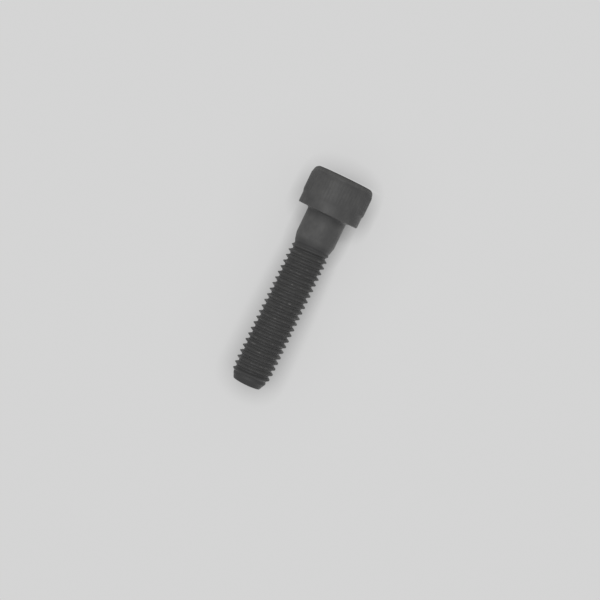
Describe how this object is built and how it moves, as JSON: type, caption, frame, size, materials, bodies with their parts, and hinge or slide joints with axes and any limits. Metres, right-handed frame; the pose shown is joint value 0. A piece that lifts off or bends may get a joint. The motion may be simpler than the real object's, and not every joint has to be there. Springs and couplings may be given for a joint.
{
  "type": "socket head cap screw",
  "caption": "Cap screw with a knurled cylindrical head, a hexagon socket for a key, a plain shank and a right-hand metric thread with a chamfered point.",
  "frame": {"origin": "centre of the top of the head, on the surface the screw stands on", "axes": "+Z along the screw's axis from the head to the point, which is also up; X and Y across it"},
  "size_m": [0.0158, 0.0158, 0.0547],
  "materials": {
    "black_steel": "matt black oxide on alloy steel"
  },
  "bodies": {
    "root": {"cap_screw": "black_steel"}
  },
  "joints": []
}
